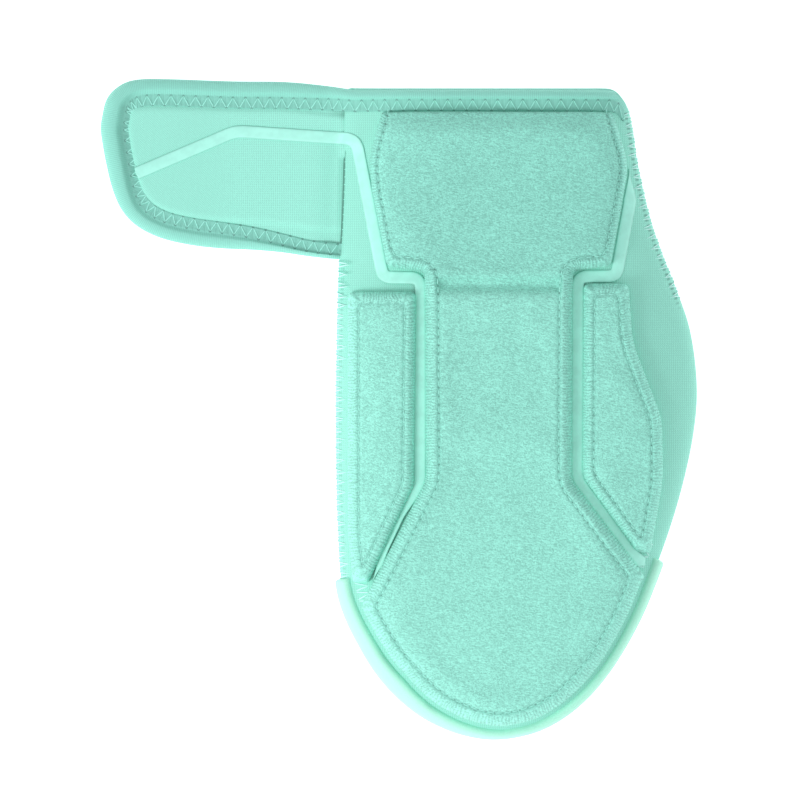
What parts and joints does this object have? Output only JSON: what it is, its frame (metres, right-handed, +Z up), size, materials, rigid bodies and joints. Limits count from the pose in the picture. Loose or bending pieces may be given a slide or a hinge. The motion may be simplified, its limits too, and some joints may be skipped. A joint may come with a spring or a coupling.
{
  "type": "sliding mitt",
  "caption": "Padded sliding mitt for a base runner's hand: hollow pocket with moulded back pads, toe bumper, taped edges and a wrist strap laid out flat.",
  "frame": {"origin": "centre of the part's own box, on the surface that it lies on", "axes": "+Z up out of the back pads, +Y towards the wrist opening, -Y towards the toe, -X along the wrist strap"},
  "size_m": [0.2538, 0.281, 0.041],
  "materials": {
    "jersey": "jersey-faced foam sheet, fine ribs",
    "loop_cloth": "brushed loop cloth over moulded foam",
    "tape": "folded knit tape with zigzag stitching",
    "film": "smooth bonded film, satin",
    "rubber": "moulded soft rubber, matt",
    "hook": "hook fastener tape"
  },
  "bodies": {
    "root": {"back_panel": "jersey", "palm_panel": "jersey", "wrist_pad": "loop_cloth", "hand_pad": "loop_cloth", "little_finger_pad": "loop_cloth", "thumb_pad": "loop_cloth", "strap": "jersey", "strap_binding": "tape", "wrist_binding": "tape", "strap_film": "film", "thumb_film": "film", "bumper": "rubber", "hook_patch": "hook"}
  },
  "joints": []
}
